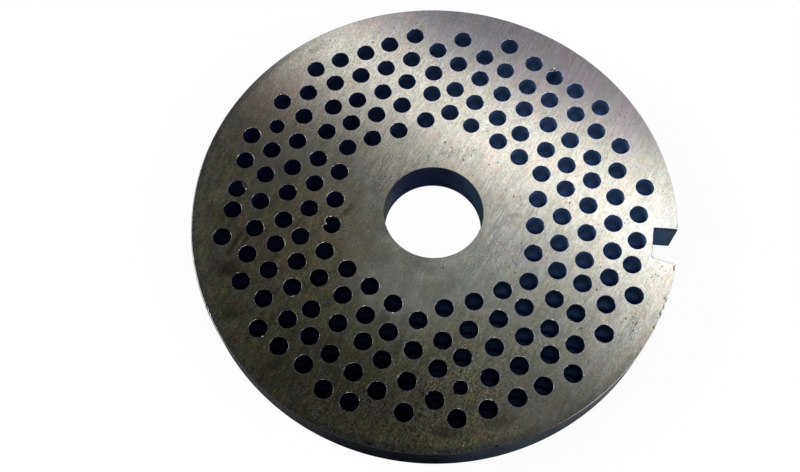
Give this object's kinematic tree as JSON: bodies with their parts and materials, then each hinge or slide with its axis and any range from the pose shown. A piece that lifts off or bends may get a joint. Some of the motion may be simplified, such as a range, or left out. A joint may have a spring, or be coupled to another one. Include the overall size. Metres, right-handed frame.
{
  "type": "meat grinder plate",
  "caption": "Flat round steel plate with a central bore, a field of small round outlet holes and a locating notch in the rim.",
  "frame": {"origin": "on the axis of the central bore, in the plane of the bottom face", "axes": "+Z along the bore, up through the plate; +X from the bore to the middle of the rim notch"},
  "size_m": [0.0819, 0.082, 0.0073],
  "materials": {
    "plate_steel": "ground and lightly stained, with fine one-way grinding lines"
  },
  "bodies": {
    "root": {"grinder_plate": "plate_steel"}
  },
  "joints": []
}
